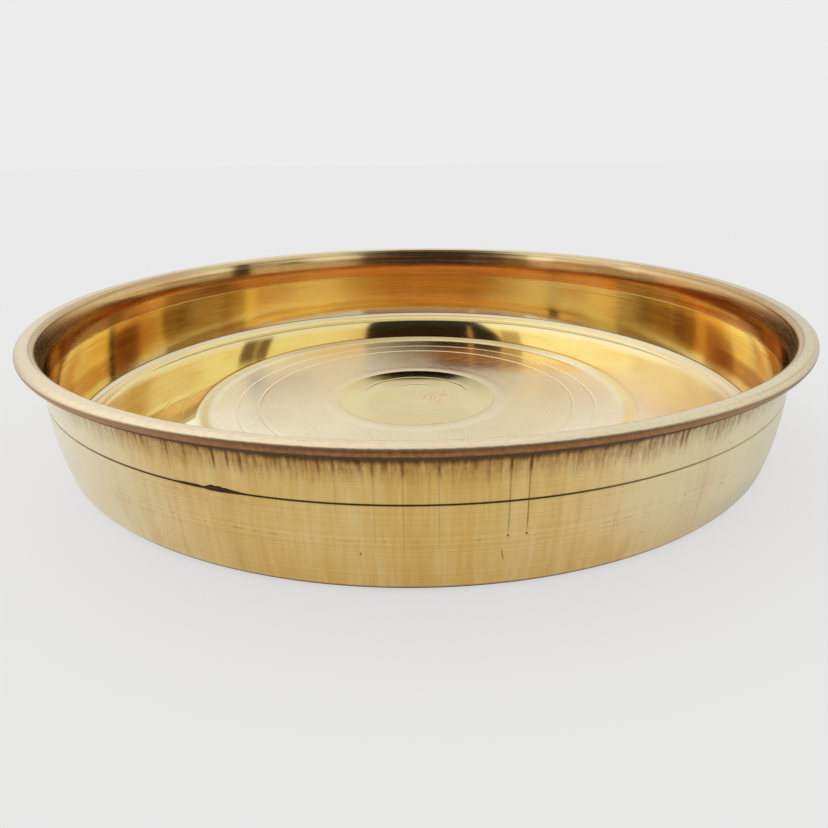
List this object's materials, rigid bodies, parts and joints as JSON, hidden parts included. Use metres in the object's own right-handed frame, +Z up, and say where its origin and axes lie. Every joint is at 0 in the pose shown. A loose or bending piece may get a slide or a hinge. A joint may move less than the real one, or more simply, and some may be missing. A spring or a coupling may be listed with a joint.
{
  "type": "thali plate",
  "caption": "Deep round brass thali plate with an upright turned wall, a rolled lip, a brazed seam in the wall and turned rings on its stepped floor.",
  "frame": {"origin": "middle of the flat ring that the plate rests on", "axes": "+Z up along the plate's axis; the plate is round, and the front of the picture faces -Y"},
  "size_m": [0.254, 0.254, 0.0385],
  "materials": {
    "turned_brass": "satin, turned on a lathe, polished inside",
    "lip_wire": "plain drawn wire",
    "braze": "dark, oxidised"
  },
  "bodies": {
    "root": {"pan": "turned_brass", "rim_band": "turned_brass", "rim_wire": "lip_wire", "seam_braze": "braze"}
  },
  "joints": []
}
